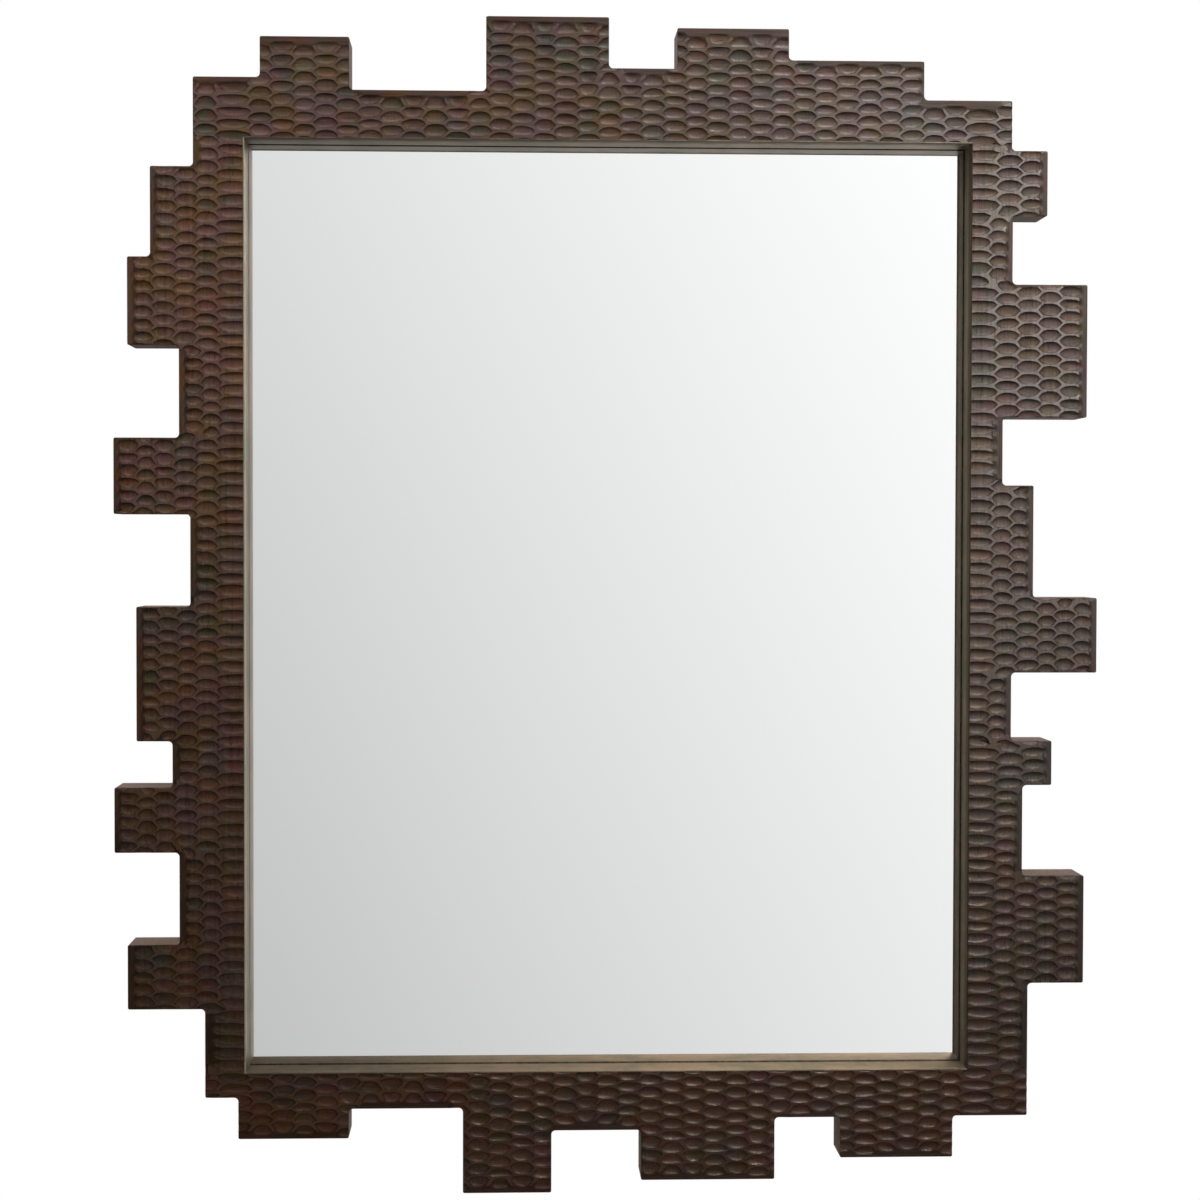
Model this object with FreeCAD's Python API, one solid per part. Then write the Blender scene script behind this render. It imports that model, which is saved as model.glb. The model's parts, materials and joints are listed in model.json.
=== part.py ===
import FreeCAD, Part
import math
import os
from FreeCAD import Vector

os.makedirs("parts", exist_ok=True)

# +X is the viewer's right, +Y points at the wall and +Z is up. The origin is the middle of the
# opening, in the plane of the frame's back, where the back panel lies flush.

# Wooden frame: two full-width rails with the stiles between them
sight_width = 673.0  # clear opening inside the liner
sight_height = 864.0
stile_reach = 120.5  # furthest block of a stile, out from the opening
rail_reach = 114.0  # furthest block of a rail, out from the opening
board_thickness = 45.0
notch_radius = 4.0  # inside corners of the stepped outline
block_corner_radius = 1.6  # outside corners of the stepped outline
front_edge_radius = 1.2  # rounding of the outline's front edge

# Steps of the outline, left to right on a rail and upwards on a stile: where each run ends, as a
# share of half the opening, and how far it stands out, as a share of the furthest block
top_end_shares = (-0.958, -0.714, -0.340, -0.003, 0.185, 0.493, 0.868)
top_reach_shares = (0.493, 0.822, 0.397, 1.0, 0.589, 0.918, 0.666, 0.352)
bottom_end_shares = (-1.021, -0.717, -0.402, -0.157, 0.092, 0.464, 0.647, 0.962)
bottom_reach_shares = (0.203, 0.542, 0.300, 1.0, 0.489, 0.903, 0.394, 0.729, 0.389)
left_end_shares = (-0.862, -0.723, -0.525, -0.385, -0.286, 0.002, 0.200, 0.363, 0.560, 0.748, 0.940)
left_reach_shares = (0.312, 0.902, 0.505, 1.0, 0.556, 0.830, 0.417, 1.0, 0.501, 0.893, 0.718, 0.391)
right_end_shares = (-0.814, -0.580, -0.383, -0.287, -0.139, 0.023, 0.266, 0.413, 0.699, 0.846, 0.986)
right_reach_shares = (0.477, 0.912, 0.427, 0.653, 0.334, 1.0, 0.500, 0.256, 0.911, 0.326, 0.594, 0.316)

# Dowels that join each stile end to its rail
dowel_radius = 4.0
dowel_in_rail = 16.0
dowel_in_stile = 24.0
dowel_chamfer = 1.0
dowel_clearance = 0.1  # radial
dowel_end_gap = 0.5
dowel_place_shares = (0.27, 0.73)  # of the stile's width at the joint

# Metal liner: a mitred angle, its wall lining the opening and its flange held behind the wood
liner_sheet = 1.3
liner_flange = 6.0
liner_setback = 0.3  # its front edge behind the wood's face

# Mirror and what holds it in its rebate
glass_rebate = 7.0  # width of the rebate, out from the opening
glass_gap = 1.5  # room round the glass, filled by pads where they sit
glass_thickness = 4.0
pad_length = 30.0
pad_place_shares = (-0.6, 0.6)  # of half the side
foam_thickness = 1.5
foam_width = 10.0

# Back panel in its own wider rebate, level with the back of the wood
panel_rebate = 16.0  # width of the rebate, out from the opening
panel_thickness = 6.0
panel_gap = 0.75
rebate_corner_radius = 6.0  # left by the cutter
panel_screw_places_shares = (-0.9, -0.3, 0.3, 0.9)  # of half the side
panel_screw_radius = 1.5
panel_screw_head_radius = 2.9
panel_screw_length = 20.0
panel_screw_sink = 0.2  # head below the panel's face
screw_tip = 3.0
screw_clearance = 0.1  # radial

# Hangers: a strap rolled into an eye at its top, with a loose ring in the eye
hanger_height = 275.0  # eye above the middle of the opening
hanger_out = 45.0  # middle of the strap, out from the opening
strap_width = 15.0
strap_sheet = 1.5
strap_length = 58.0  # eye's axis to the round end
strap_screw_drops = (30.0, 47.0)  # below the eye's axis
hanger_screw_radius = 1.9
hanger_screw_head_radius = 3.6
hanger_screw_head_height = 2.2
hanger_screw_crown = 1.0  # height of the head's rounded edge
hanger_screw_length = 22.0
ring_wire_radius = 1.5
ring_bend_radius = 3.0
ring_leg = 4.0
ring_side_gap = 0.5  # straight of the bar past the eye, at each side
ring_lift = 0.3  # ring above the strap when it hangs down
eye_clearance = 0.1  # radial

# Rubber bumpers on the lower blocks
bumper_radius = 8.0
bumper_height = 7.0
bumper_edge_radius = 1.5
bumper_out = 60.0
bumper_place_share = -0.775  # of half the opening's height

touch = 0.01  # widest gap between faces that meet
overrun = 1.0  # how far a cut runs past the face it opens

half_width = sight_width / 2
half_height = sight_height / 2
front = -board_thickness
glass_front = -(panel_thickness + foam_thickness + glass_thickness)
shoulder = glass_front - liner_sheet  # seat of the liner's flange
dowel_depth = (front + shoulder) / 2
half_sides = {"top": half_width, "bottom": half_width, "left": half_height, "right": half_height}


def place(side, along, out, y):
    """A point given along one side of the opening and out from it."""
    if side == "top":
        return Vector(along, y, half_height + out)
    if side == "bottom":
        return Vector(along, y, -half_height - out)
    if side == "left":
        return Vector(-half_width - out, y, along)
    return Vector(half_width + out, y, along)


def slab(side, corners, low, high):
    """A flat piece with the given (along, out) corners, between two depths."""
    points = [place(side, along, out, low) for along, out in corners]
    face = Part.Face(Part.makePolygon(points + points[:1]))
    return face.extrude(Vector(0, high - low, 0))


def pocket(out, low, high):
    """A block over the whole opening that reaches out past its edges."""
    size = Vector(sight_width + 2 * out, high - low, sight_height + 2 * out)
    return Part.makeBox(size.x, size.y, size.z, Vector(-size.x / 2, low, -size.z / 2))


def round_corners(block, radius):
    """The block with its four edges along Y rounded."""
    edges = [edge for edge in block.Edges if edge.BoundBox.YLength > block.BoundBox.YLength - touch]
    return block.makeFillet(radius, edges)


def turned(profile, middle, axis):
    """A closed (radius, height) profile turned about an axis through a point."""
    points = [Vector(radius, 0, height) for radius, height in profile]
    solid = Part.Face(Part.makePolygon(points + points[:1])).revolve(Vector(0, 0, 0), Vector(0, 0, 1), 360)
    solid.Placement = FreeCAD.Placement(middle, FreeCAD.Rotation(Vector(0, 0, 1), axis))
    return solid


# Stepped boards
def run_points(end_shares, reach_shares, half, reach, start, stop):
    ends = [share * half for share in end_shares] + [stop]
    points = [Vector(start, 0, 0)]
    along = start
    for end, share in zip(ends, reach_shares):
        points += [Vector(along, share * reach, 0), Vector(end, share * reach, 0)]
        along = end
    return points + [Vector(stop, 0, 0)]


def is_joint(side, corner):
    """Whether a corner of the outline is a stile's end, which stays square against its rail."""
    return side in ("left", "right") and abs(corner.x) > half_height - touch


def outline_wire(side, points):
    """The stepped outline on the front plane, with arcs at its corners but not at the joints."""
    edges = []
    last = points[0]

    def line_to(spot):
        ends = [place(side, end.x, end.y, front) for end in (last, spot)]
        edges.append(Part.LineSegment(*ends).toShape())
        return spot

    for before, corner, after in zip(points, points[1:], points[2:]):
        if is_joint(side, corner):
            last = line_to(corner)
            continue
        to_before = (before - corner).normalize()
        to_after = (after - corner).normalize()
        convex = to_before.cross(to_after).z > 0
        radius = block_corner_radius if convex else notch_radius
        centre = corner + (to_before + to_after) * radius
        middle = centre - (to_before + to_after).normalize() * radius
        arc = [corner + to_before * radius, middle, corner + to_after * radius]
        last = line_to(arc[0])
        edges.append(Part.Arc(*[place(side, spot.x, spot.y, front) for spot in arc]).toShape())
        last = arc[-1]
    last = line_to(points[-1])
    line_to(points[0])
    return Part.Wire(edges)


def is_outer(side, middle):
    """Whether an edge lies on the outline, and not on a joint or the opening."""
    if side in ("top", "bottom"):
        return abs(middle.z) > half_height + touch
    return abs(middle.x) > half_width + touch and abs(middle.z) < half_height - touch


def board(side, points):
    solid = Part.Face(outline_wire(side, points)).extrude(Vector(0, board_thickness, 0))
    front_edges = [edge for edge in solid.Edges if edge.BoundBox.YMax < front + touch]
    outer = [edge for edge in front_edges if is_outer(side, edge.CenterOfMass)]
    return solid.makeFillet(front_edge_radius, outer)


def rail(side, end_shares, reach_shares, left_width, right_width):
    ends = (-half_width - left_width, half_width + right_width)
    return board(side, run_points(end_shares, reach_shares, half_width, rail_reach, *ends))


def stile(side, end_shares, reach_shares):
    ends = (-half_height, half_height)
    return board(side, run_points(end_shares, reach_shares, half_height, stile_reach, *ends))


left_low, left_high = left_reach_shares[0] * stile_reach, left_reach_shares[-1] * stile_reach
right_low, right_high = right_reach_shares[0] * stile_reach, right_reach_shares[-1] * stile_reach
boards = {
    "top_rail": rail("top", top_end_shares, top_reach_shares, left_high, right_high),
    "bottom_rail": rail("bottom", bottom_end_shares, bottom_reach_shares, left_low, right_low),
    "left_stile": stile("left", left_end_shares, left_reach_shares),
    "right_stile": stile("right", right_end_shares, right_reach_shares),
}


# Dowels and their holes, two at each corner
def dowel(side, out, end_sign, radius, end_gap):
    start = -dowel_in_stile - end_gap
    length = dowel_in_rail + dowel_in_stile + 2 * end_gap
    foot = place(side, end_sign * (half_height + start), out, dowel_depth)
    return Part.makeCylinder(radius, length, foot, Vector(0, 0, end_sign))


dowels, dowel_holes = [], []
upper_joints = (("left", 1, left_high), ("right", 1, right_high))
lower_joints = (("left", -1, left_low), ("right", -1, right_low))
for side, end_sign, width in upper_joints + lower_joints:
    for share in dowel_place_shares:
        pin = dowel(side, share * width, end_sign, dowel_radius, 0)
        rims = [edge for edge in pin.Edges if edge.BoundBox.ZLength < touch]
        dowels.append(pin.makeChamfer(dowel_chamfer, rims))
        hole_radius = dowel_radius + dowel_clearance
        dowel_holes.append(dowel(side, share * width, end_sign, hole_radius, dowel_end_gap))


# Liner, mitred at the corners of the opening
def mitred(side, width, low, high):
    half = half_sides[side]
    corners = [(-half, 0), (half, 0), (half + width, width), (-half - width, width)]
    return slab(side, corners, low, high)


def liner(side):
    wall = mitred(side, liner_sheet, front + liner_setback, shoulder)
    flange = mitred(side, liner_flange, shoulder, glass_front)
    return wall.fuse(flange).removeSplitter()


liners = {"liner_" + side: liner(side) for side in half_sides}


# Mirror, its edge pads and the foam behind it
glass_out = glass_rebate - glass_gap
mirror_glass = pocket(glass_out, glass_front, glass_front + glass_thickness)


def edge_pad(side, share):
    middle = share * half_sides[side]
    ends = (middle - pad_length / 2, middle + pad_length / 2)
    corners = [(ends[0], glass_out), (ends[1], glass_out), (ends[1], glass_rebate), (ends[0], glass_rebate)]
    return slab(side, corners, glass_front, glass_front + glass_thickness)


edge_pads = [edge_pad(side, share) for side in half_sides for share in pad_place_shares]


def foam_strip(side):
    half = half_sides[side] + glass_out
    if side in ("left", "right"):
        half -= foam_width
    inner = glass_out - foam_width
    corners = [(-half, inner), (half, inner), (half, glass_out), (-half, glass_out)]
    return slab(side, corners, -panel_thickness - foam_thickness, -panel_thickness)


foam_strips = {"foam_strip_" + side: foam_strip(side) for side in half_sides}


# Screws, drawn out of the wall side: a head, a plain shank and a point
def panel_screw(middle, clearance):
    head, shank = panel_screw_head_radius + clearance, panel_screw_radius + clearance
    top, tip = -panel_screw_sink, -panel_screw_length - clearance
    profile = [(0, top), (head, top), (shank, top - head + shank), (shank, tip + screw_tip), (0, tip)]
    if clearance:
        profile[:1] = [(0, overrun), (head, overrun)]
    return turned(profile, middle, Vector(0, 1, 0))


def hanger_screw(middle, clearance):
    head, shank = hanger_screw_head_radius, hanger_screw_radius + clearance
    rim, top = hanger_screw_head_height - hanger_screw_crown, hanger_screw_head_height
    tip = strap_sheet - hanger_screw_length - clearance
    profile = [(0, top), (head - hanger_screw_crown, top), (head, rim), (head, 0), (shank, 0)]
    if clearance:
        profile = [(0, 0), (shank, 0)]
    profile += [(shank, tip + screw_tip), (0, tip)]
    return turned(profile, middle, Vector(0, 1, 0))


screw_line = (glass_rebate + panel_rebate) / 2  # middle of the panel's ledge
screw_spots = [
    place(side, share * half_sides[side], screw_line, 0)
    for side in half_sides
    for share in panel_screw_places_shares
]
panel_screws = [panel_screw(spot, 0) for spot in screw_spots]
panel_screw_holes = [panel_screw(spot, screw_clearance) for spot in screw_spots]


# Back panel
panel_out = panel_rebate - panel_gap
panel_blank = round_corners(pocket(panel_out, -panel_thickness, 0), rebate_corner_radius - panel_gap)
back_panel = panel_blank.cut(panel_screw_holes)


# Hangers
eye_inner = ring_wire_radius + eye_clearance
eye_outer = eye_inner + strap_sheet
eye_depth = strap_sheet + ring_lift + ring_wire_radius  # eye's axis behind the wood


def strap(side):
    axis = place(side, hanger_height, hanger_out, eye_depth)
    end_radius = strap_width / 2
    foot = Vector(axis.x - end_radius, 0, axis.z - strap_length + end_radius)
    flat = Part.makeBox(strap_width, strap_sheet, strap_length - end_radius, foot)
    round_end = Part.makeCylinder(end_radius, strap_sheet, foot + Vector(end_radius, 0, 0), Vector(0, 1, 0))
    roll_start = axis - Vector(end_radius, 0, 0)
    roll = Part.makeCylinder(eye_outer, strap_width, roll_start, Vector(1, 0, 0))
    bore = Part.makeCylinder(eye_inner, strap_width, roll_start, Vector(1, 0, 0))
    holes = []
    for drop in strap_screw_drops:
        hole_foot = Vector(axis.x, -overrun, axis.z - drop)
        hole_radius = hanger_screw_radius + screw_clearance
        holes.append(Part.makeCylinder(hole_radius, strap_sheet + 2 * overrun, hole_foot, Vector(0, 1, 0)))
    return flat.fuse([round_end, roll]).cut([bore] + holes).removeSplitter()


def ring(side):
    """A wire D: a straight bar in the eye, two bends, two legs and a half circle."""
    axis = place(side, hanger_height, hanger_out, eye_depth)
    bar = strap_width / 2 + ring_side_gap
    leg = bar + ring_bend_radius
    top, low = -ring_bend_radius, -ring_bend_radius - ring_leg
    bend = ring_bend_radius * (1 - math.sqrt(0.5))

    def spot(x, z):
        return axis + Vector(x, 0, z)

    path = Part.Wire([
        Part.LineSegment(spot(-bar, 0), spot(bar, 0)).toShape(),
        Part.Arc(spot(bar, 0), spot(leg - bend, -bend), spot(leg, top)).toShape(),
        Part.LineSegment(spot(leg, top), spot(leg, low)).toShape(),
        Part.Arc(spot(leg, low), spot(0, low - leg), spot(-leg, low)).toShape(),
        Part.LineSegment(spot(-leg, low), spot(-leg, top)).toShape(),
        Part.Arc(spot(-leg, top), spot(bend - leg, -bend), spot(-bar, 0)).toShape(),
    ])
    section = Part.Wire(Part.makeCircle(ring_wire_radius, spot(-bar, 0), Vector(1, 0, 0)))
    return path.makePipeShell([section], True, True)


hanger_screw_spots = [
    place(side, hanger_height - drop, hanger_out, strap_sheet)
    for side in ("left", "right")
    for drop in strap_screw_drops
]
hanger_screws = [hanger_screw(spot, 0) for spot in hanger_screw_spots]
hanger_screw_holes = [hanger_screw(spot, screw_clearance) for spot in hanger_screw_spots]


def bumper(side):
    foot = place(side, bumper_place_share * half_height, bumper_out, 0)
    body = Part.makeCylinder(bumper_radius, bumper_height, foot, Vector(0, 1, 0))
    rim = [edge for edge in body.Edges if edge.BoundBox.YMin > bumper_height - touch]
    return body.makeFillet(bumper_edge_radius, rim)


# Rebates and holes cut into the boards
liner_pocket = pocket(liner_sheet, front - overrun, overrun)
glass_pocket = pocket(glass_rebate, shoulder, overrun)
panel_pocket = round_corners(pocket(panel_rebate, -panel_thickness, overrun), rebate_corner_radius)
rebates = liner_pocket.fuse([glass_pocket, panel_pocket])
cuts = [rebates] + dowel_holes + panel_screw_holes + hanger_screw_holes

nodes = {name: blank.cut(cuts) for name, blank in boards.items()}
nodes.update(liners)
nodes.update(foam_strips)
nodes["mirror_glass"] = mirror_glass
nodes["back_panel"] = back_panel
for side in ("left", "right"):
    nodes["hanger_strap_" + side] = strap(side)
    nodes["hanger_ring_" + side] = ring(side)
    nodes["wall_bumper_" + side] = bumper(side)
nodes["corner_dowels"] = Part.Compound(dowels)
nodes["glass_edge_pads"] = Part.Compound(edge_pads)
nodes["panel_screws"] = Part.Compound(panel_screws)
nodes["hanger_screws"] = Part.Compound(hanger_screws)

for name, shape in nodes.items():
    shape.exportStep("parts/" + name + ".step")
    print(name, len(shape.Solids), "solids,", round(shape.Volume), "mm3, valid:", shape.isValid())
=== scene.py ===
import json
import math
import random

import bmesh
import bpy
from mathutils import Matrix, Vector


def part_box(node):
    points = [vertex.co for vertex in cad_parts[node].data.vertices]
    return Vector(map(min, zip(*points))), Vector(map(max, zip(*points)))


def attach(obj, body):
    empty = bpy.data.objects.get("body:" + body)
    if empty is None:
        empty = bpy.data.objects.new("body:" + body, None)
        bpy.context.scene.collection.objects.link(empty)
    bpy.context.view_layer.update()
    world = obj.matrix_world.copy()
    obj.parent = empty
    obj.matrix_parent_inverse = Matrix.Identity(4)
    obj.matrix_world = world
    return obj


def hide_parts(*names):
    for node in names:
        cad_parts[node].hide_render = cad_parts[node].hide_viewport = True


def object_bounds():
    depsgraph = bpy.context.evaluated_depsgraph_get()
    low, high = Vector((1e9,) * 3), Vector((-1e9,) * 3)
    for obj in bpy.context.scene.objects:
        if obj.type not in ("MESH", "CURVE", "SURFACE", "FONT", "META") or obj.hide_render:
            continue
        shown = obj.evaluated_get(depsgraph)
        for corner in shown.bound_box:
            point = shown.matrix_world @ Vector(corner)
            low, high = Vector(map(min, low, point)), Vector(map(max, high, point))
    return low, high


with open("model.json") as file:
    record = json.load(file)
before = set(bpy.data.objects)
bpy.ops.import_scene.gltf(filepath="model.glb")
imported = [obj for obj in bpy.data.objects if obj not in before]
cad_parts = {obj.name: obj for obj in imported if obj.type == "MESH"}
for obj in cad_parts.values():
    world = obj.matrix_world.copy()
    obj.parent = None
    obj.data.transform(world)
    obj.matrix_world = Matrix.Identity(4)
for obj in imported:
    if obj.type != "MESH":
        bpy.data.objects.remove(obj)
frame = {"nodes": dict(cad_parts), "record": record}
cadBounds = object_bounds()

print("frame loaded:", len(frame["nodes"]), "nodes")


class Wire:  # one socket of a material, with Python's own maths on it
    def __init__(self, tree, socket=None):
        self.tree, self.socket = tree, socket

    def node(self, kind, settings=None, inputs=None, out=0):
        made = self.tree.nodes.new("ShaderNode" + kind)
        for name, value in (settings or {}).items():
            setattr(made, name, value)
        for name, value in (inputs or {}).items():
            if isinstance(value, Wire):
                self.tree.links.new(value.socket, made.inputs[name])
            else:
                made.inputs[name].default_value = value
        return Wire(self.tree, made.outputs[out])

    def maths(self, operation, *values):
        return self.node("Math", {"operation": operation}, dict(enumerate(values)))

    def __add__(self, other):
        return self.maths("ADD", self, other)

    def __radd__(self, other):
        return self.maths("ADD", other, self)

    def __sub__(self, other):
        return self.maths("SUBTRACT", self, other)

    def __rsub__(self, other):
        return self.maths("SUBTRACT", other, self)

    def __mul__(self, other):
        return self.maths("MULTIPLY", self, other)

    def __rmul__(self, other):
        return self.maths("MULTIPLY", other, self)

    def ramp(self, low, high):  # 0 at low, 1 at high, smooth between
        settings = {"interpolation_type": "SMOOTHSTEP"}
        return self.node("MapRange", settings, {"Value": self, "From Min": low, "From Max": high})

    def blend(self, first, second, mode="MIX"):  # colours, with this value as the factor
        settings = {"data_type": "RGBA", "blend_type": mode}
        return self.node("Mix", settings, {"Factor": self, 6: first, 7: second}, 2)  # its colour sockets

    def stretched(self, scale, place=(0, 0, 0)):
        return self.node("Mapping", None, {"Vector": self, "Scale": scale, "Location": place})

    def noise(self, scale, detail=2.0, roughness=0.5, distortion=0.0):
        inputs = {"Vector": self, "Scale": scale, "Detail": detail}
        inputs.update({"Roughness": roughness, "Distortion": distortion})
        return self.node("TexNoise", None, inputs)

    def parts(self):
        return [self.node("SeparateXYZ", None, {"Vector": self}, out) for out in range(3)]

    def clamped(self):
        return self.node("Clamp", None, {"Value": self})

    def stored(self, name):  # a number that the mesh carries
        return self.node("Attribute", {"attribute_name": name}, None, 2)

    def bump(self, strength, distance):
        return self.node("Bump", None, {"Height": self, "Strength": strength, "Distance": distance})


def weighed(shares, **wires):  # each wire times the share of its name, added up
    return sum(wire * shares[name] for name, wire in wires.items())


def newMaterial(name, fixed):
    material = bpy.data.materials.new(name)
    material.use_nodes = True
    tree = material.node_tree
    shader = tree.nodes["Principled BSDF"]
    for socket, value in fixed.items():
        shader.inputs[socket].default_value = value
    here = Wire(tree).node("TexCoord", None, None, "Object")

    def feed(**links):
        for socket, wire in links.items():
            tree.links.new(wire.socket, shader.inputs[socket.replace("_", " ")])

    return material, here, feed


def newPiece(name, bm, materials):
    mesh = bpy.data.meshes.new(name)
    bm.to_mesh(mesh)
    bm.free()
    piece = bpy.data.objects.new(name, mesh)
    bpy.context.scene.collection.objects.link(piece)
    for material in materials:
        mesh.materials.append(material)
    return piece


def settle(piece, slot, *nodes):  # everything new rides on the frame
    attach(piece, "frame")
    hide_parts(*nodes)


weld = 1e-6  # points closer than this are one


def cadCopy(node):  # a CAD mesh with its loose triangles joined up
    bm = bmesh.new()
    bm.from_mesh(frame["nodes"][node].data)
    bmesh.ops.remove_doubles(bm, verts=bm.verts[:], dist=weld)
    return bm


# finishes

espresso = {
    "fixed": {"Specular IOR Level": 0.10},
    "deep": (0.025, 0.012, 0.006, 1),
    "mid": (0.096, 0.050, 0.027, 1),
    "red": (0.132, 0.048, 0.031, 1),
    "olive": (0.066, 0.058, 0.032, 1),
    "worn": (0.150, 0.093, 0.060, 1),
    "amber": (1.04, 1.02, 0.74),  # casts laid over it all
    "plum": (0.98, 0.97, 1.26),
    "castPlace": (0.7, 2.3, 5.1),
    "castScale": 31,
    "castBehind": 0.5,  # share of the cast away from the front
    "along": 16,  # grain stretch, along and across
    "across": 330,
    "poreStretch": 2.1,  # times that of the grain
    "patchScale": 29,
    "patchTone": 0.06,
    "driftPlace": (3.1, 0.4, 1.7),
    "driftScale": 23,
    "driftBehind": 0.3,
    "chatter": (560, 60, 80),  # stretch of the ribs across each cut
    "foot": (0.0, 0.45),  # below the middle, where painted shade darkens it towards the bottom
    "wear": {"fibre": 0.40, "tone": 0.22, "ridge": 0.46, "ribs": 0.14},  # what lightens it: grain, tone and tool marks, and on the uncut ridges wear with painted sheen
    "dirt": {  # and what darkens it: stain in the grain and pores, and painted shade round the rims of the cuts and towards the bottom
        "rim": 0.58,
        "rimAbove": 0.14,
        "rimBelow": 0.14,
        "pores": 0.45,
        "grain": 0.45,
        "tone": -0.12,
        "border": 0.26,
        "borderBelow": 0.40,
    },
    "relief": {"fibre": 0.6, "ribs": 1.3, "pores": -0.6},
    "bump": (0.42, 0.0006),
    "roughness": 0.63,
    "dull": {"uncut": -0.19, "border": 0.22, "lip": -0.18, "rim": 0.08, "fibre": -0.10, "pores": 0.12},
}


def carvedWood(name, axis, tint):
    look = espresso
    material, here, feed = newMaterial(name, look["fixed"])
    tone, high = here.stored("cutTone"), here.stored("uncut")
    border = here.stored("flat") * high
    front = high + here.stored("number").ramp(0, 1)
    away, up = here.node("UVMap", {"uv_map": "cutUv"}).parts()[:2]  # from the middle of a cut
    # rim is the outer band of a cut, where painted shade goes; rise is its upper side
    rim, rise = away.ramp(0.72, 0.97), up.ramp(0.05, 0.75)
    lip = away.ramp(0.45, 0.8) * (0 - up).ramp(0.15, 0.6)  # lower side, burnished
    # painted shade, growing towards the bottom
    foot = (0 - here.parts()[2]).ramp(*look["foot"])
    grainScale = [look["across"]] * 3
    grainScale[axis] = look["along"]
    poreScale = [value * look["poreStretch"] for value in grainScale]
    fibre = here.stretched(grainScale).noise(1, detail=4, roughness=0.62, distortion=0.3)
    pores = here.stretched(poreScale).noise(1, detail=2, roughness=0.5).ramp(0.60, 0.74)
    patches = here.noise(look["patchScale"], detail=3, roughness=0.65)
    drift = here.stretched((1, 1, 1), look["driftPlace"]).noise(look["driftScale"], detail=2, roughness=0.5)
    chatter = here.stretched(look["chatter"]).noise(1, detail=2, roughness=0.6, distortion=0.8)
    ribs = chatter.ramp(0.42, 0.64) * (1 - high)

    colour = (patches + tone * look["patchTone"]).ramp(0.37, 0.63).blend(look["olive"], look["red"])
    shown = look["driftBehind"] + front * (1 - look["driftBehind"])
    colour = (drift.ramp(0.32, 0.62) * shown).blend(look["mid"], colour)
    # the uncut ridges between the cuts are lightened for wear and for painted sheen
    worn = weighed(look["wear"], fibre=fibre.ramp(0.32, 0.75), tone=tone, ridge=high - border, ribs=ribs)
    colour = worn.clamped().blend(colour, look["worn"])
    grain = 1 - fibre.ramp(0.2, 0.55)
    # painted shade: a dark band round the rim of each cut, heavier on its upper side, and rims and borders
    # darker towards the bottom; grain, pores and tone are the wood's own
    dark = weighed(look["dirt"], rim=rim, rimAbove=rim * rise, rimBelow=rim * foot, pores=pores, grain=grain,
                   tone=tone, border=border, borderBelow=border * foot)
    colour = dark.clamped().blend(colour, look["deep"])
    # the casts carry each board's tint of painted light
    casts = [[*(own * board for own, board in zip(look[cast], tint)), 1] for cast in ("amber", "plum")]
    clouds = here.stretched((1, 1, 1), look["castPlace"]).noise(look["castScale"], detail=3, roughness=0.6)
    shown = look["castBehind"] + front * (1 - look["castBehind"])
    colour = shown.blend(colour, clouds.ramp(0.36, 0.64).blend(*casts), "MULTIPLY")
    height = weighed(look["relief"], fibre=fibre, ribs=chatter * (1 - high), pores=pores)
    rough = look["roughness"] + weighed(look["dull"], uncut=high, border=border, lip=lip, rim=rim,
                                        fibre=fibre, pores=pores)
    feed(Base_Color=colour, Roughness=rough, Normal=height.bump(*look["bump"]))
    return material


champagne = {
    "fixed": {"Specular IOR Level": 0.0, "Specular Tint": (1, 0.95, 0.9, 1)},
    "warm": (0.196, 0.154, 0.116, 1),
    "grey": (0.116, 0.112, 0.084, 1),
    "streaked": (0.055, 0.048, 0.032, 1),
    "bare": (0.66, 0.59, 0.45, 1),
    "tarnished": (0.036, 0.026, 0.015, 1),
    "patinaScale": 26,
    "streaks": (60, 900, 60),  # their stretch
    "edge": (0.027, 0.041),  # from the back, where the wall's finish turns into the edge's
    "ragged": 0.005,  # how far that wanders
    "raggedScale": 60,
    "streakShare": 0.5,  # how far each goes over what is under it
    "bareShare": 0.7,
    "tarnishShare": 0.8,
    "metallic": 0.86,
    "roughness": 0.32,
    "dull": {"patina": 0.16, "tarnish": 0.3},
    "streakHeight": 0.4,  # of the patina's
    "bump": (0.12, 0.0005),
}


def linerMetal():
    look = champagne
    material, here, feed = newMaterial("rubbedChampagne", look["fixed"])
    patina = here.noise(look["patinaScale"], detail=4, roughness=0.62)
    streaks = here.stretched(look["streaks"]).noise(1, detail=3, roughness=0.6)
    wall, edge = here.stored("wall"), here.stored("edge")
    forward = (0 - here.parts()[1]) + (here.noise(look["raggedScale"], detail=2) - 0.5) * look["ragged"]
    rubbed = wall + (edge - wall) * forward.ramp(*look["edge"])  # painted light, from painted highlight 1, shown as bare metal, to painted shade -1, shown as tarnish
    # painted shade, where the light value is below zero
    tarnish = (0 - rubbed).ramp(0, 1)
    colour = patina.ramp(0.35, 0.68).blend(look["warm"], look["grey"])
    colour = (streaks.ramp(0.45, 0.8) * look["streakShare"]).blend(colour, look["streaked"])
    # painted highlight, shown as bare metal with the patina coming through
    bared = look["bareShare"] + patina.ramp(0.3, 0.6) * (1 - look["bareShare"])
    colour = (rubbed * bared).blend(colour, look["bare"])
    # the painted shade darkens the colour and takes away some of the metal
    colour = (tarnish * look["tarnishShare"]).blend(colour, look["tarnished"])
    metal = look["metallic"] - tarnish * look["tarnishShare"]
    rough = look["roughness"] + weighed(look["dull"], patina=patina, tarnish=tarnish)
    height = patina + streaks * look["streakHeight"]
    feed(Base_Color=colour, Roughness=rough, Metallic=metal, Normal=height.bump(*look["bump"]))
    return material


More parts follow.
